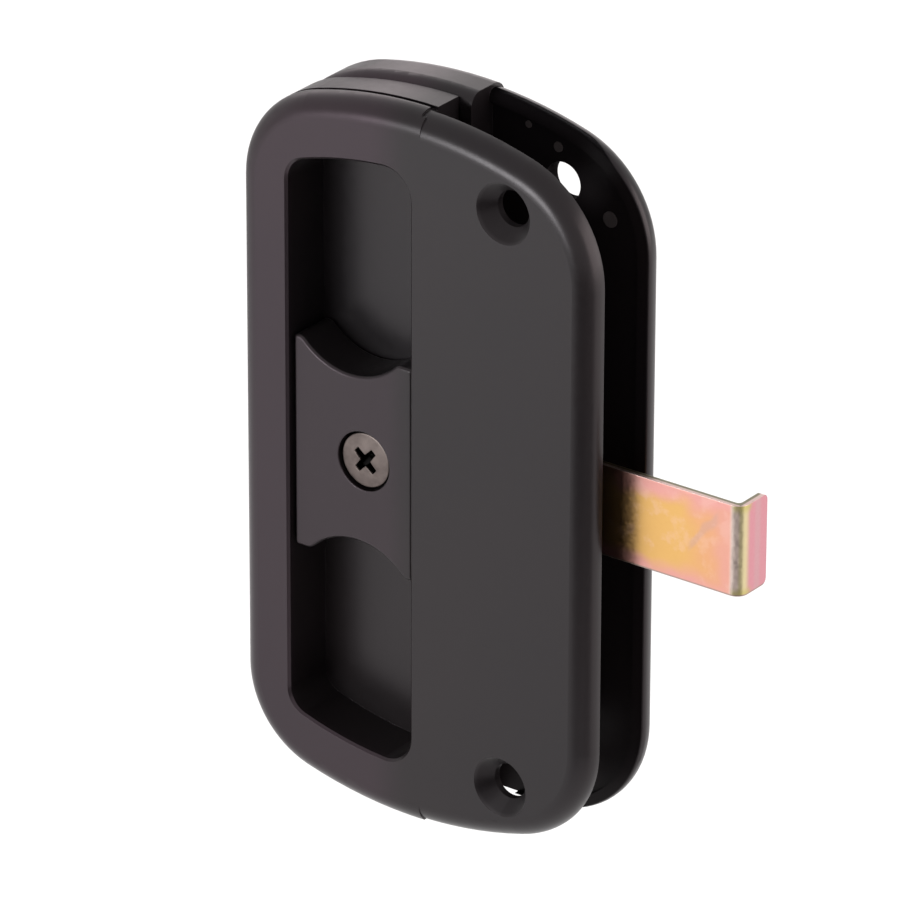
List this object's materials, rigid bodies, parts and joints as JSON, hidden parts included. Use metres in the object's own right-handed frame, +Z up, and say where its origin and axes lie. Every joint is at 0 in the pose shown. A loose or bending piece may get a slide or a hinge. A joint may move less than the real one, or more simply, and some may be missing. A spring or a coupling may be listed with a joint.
{
  "type": "sliding screen door latch and pull",
  "caption": "Two-part moulded pull that clamps a sliding screen door's edge, with a sunk thumb slide on each side and a hooked steel latch arm.",
  "frame": {"origin": "midway between the two mounting screws, on the plane where the front half seats against the stile", "axes": "+X towards the latch arm, +Y through the stile to the rear half, +Z up along the door's edge"},
  "size_m": [0.0764, 0.0157, 0.1044],
  "materials": {
    "housing_plastic": "fine moulded satin",
    "slide_plastic": "smooth moulded",
    "plated_steel": "yellow zinc plate",
    "screw_steel": "dark plate",
    "spring_steel": "bright"
  },
  "bodies": {
    "housing": {"front_housing": "housing_plastic", "rear_housing": "housing_plastic"},
    "slide": {"front_thumb_slide": "slide_plastic", "rear_thumb_slide": "slide_plastic", "latch_arm": "plated_steel", "slide_screw": "screw_steel", "friction_spring": "spring_steel"}
  },
  "joints": [
    {"name": "latch_slide", "type": "slide", "parent": "housing", "child": "slide", "axis": [0, 0, 1], "range_m": [-0.0054, 0.0066]}
  ]
}
